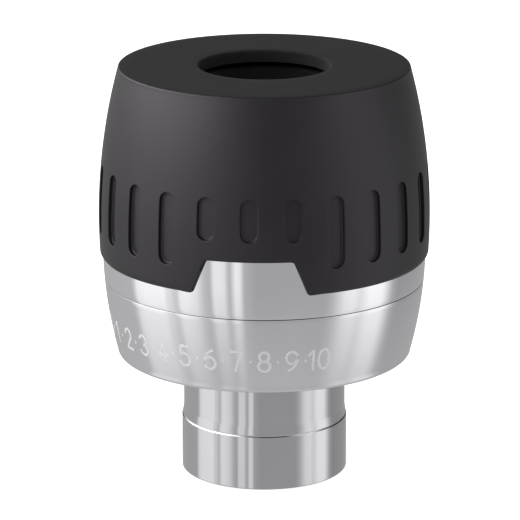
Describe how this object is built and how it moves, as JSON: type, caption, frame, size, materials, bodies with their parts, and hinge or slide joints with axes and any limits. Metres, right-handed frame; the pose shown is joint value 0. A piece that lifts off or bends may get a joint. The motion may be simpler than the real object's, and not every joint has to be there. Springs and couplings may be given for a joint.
{
  "type": "telescope eyepiece",
  "caption": "Push-in telescope eyepiece with a polished steel body and a black rubber eyecup that twists up on spiral grooves.",
  "frame": {"origin": "centre of the barrel's open end", "axes": "+Z along the optical axis towards the eye; -Y towards the front cut-out of the grip"},
  "size_m": [0.063, 0.063, 0.0791],
  "materials": {
    "polished_steel": "turned and polished",
    "black_rubber": "soft-touch matte",
    "black_anodised_aluminium": "black anodised, matte",
    "black_nylon": "matte",
    "screw_steel": "satin",
    "coated_glass": "polished, multi-layer anti-reflection coating"
  },
  "bodies": {
    "base": {"nosepiece_barrel": "polished_steel", "lower_skirt": "polished_steel", "helix_core": "black_anodised_aluminium", "lens_cell": "black_anodised_aluminium", "top_cover_ring": "black_anodised_aluminium", "eye_lens_retaining_ring": "black_anodised_aluminium", "field_lens_retaining_ring": "black_anodised_aluminium", "cell_retaining_ring": "black_anodised_aluminium", "field_stop_ring": "black_anodised_aluminium", "lower_spacer_ring": "black_anodised_aluminium", "middle_spacer_ring": "black_anodised_aluminium", "slip_washer": "black_nylon", "core_screws": "screw_steel", "field_lens_flint": "coated_glass", "field_lens_crown": "coated_glass", "lower_middle_lens": "coated_glass", "upper_middle_lens": "coated_glass", "eye_lens_flint": "coated_glass", "eye_lens_crown": "coated_glass"},
    "lift": {"drag_ring": "black_rubber"},
    "eyecup": {"eyecup_sleeve": "black_anodised_aluminium", "guide_screws": "screw_steel", "twist_band": "polished_steel", "rubber_grip": "black_rubber"}
  },
  "joints": [
    {"name": "eyecup_lift", "type": "slide", "parent": "base", "child": "lift", "axis": [0, 0, 1], "range_m": [0, 0.01]},
    {"name": "eyecup_twist", "type": "hinge", "parent": "lift", "child": "eyecup", "pos_m": [0, 0, 0.052], "axis": [0, 0, 1], "range_deg": [0, 100]}
  ],
  "couplings": [
    {"joint": "eyecup_lift", "follows": "eyecup_twist", "m_per_rad": 0.0057295}
  ]
}
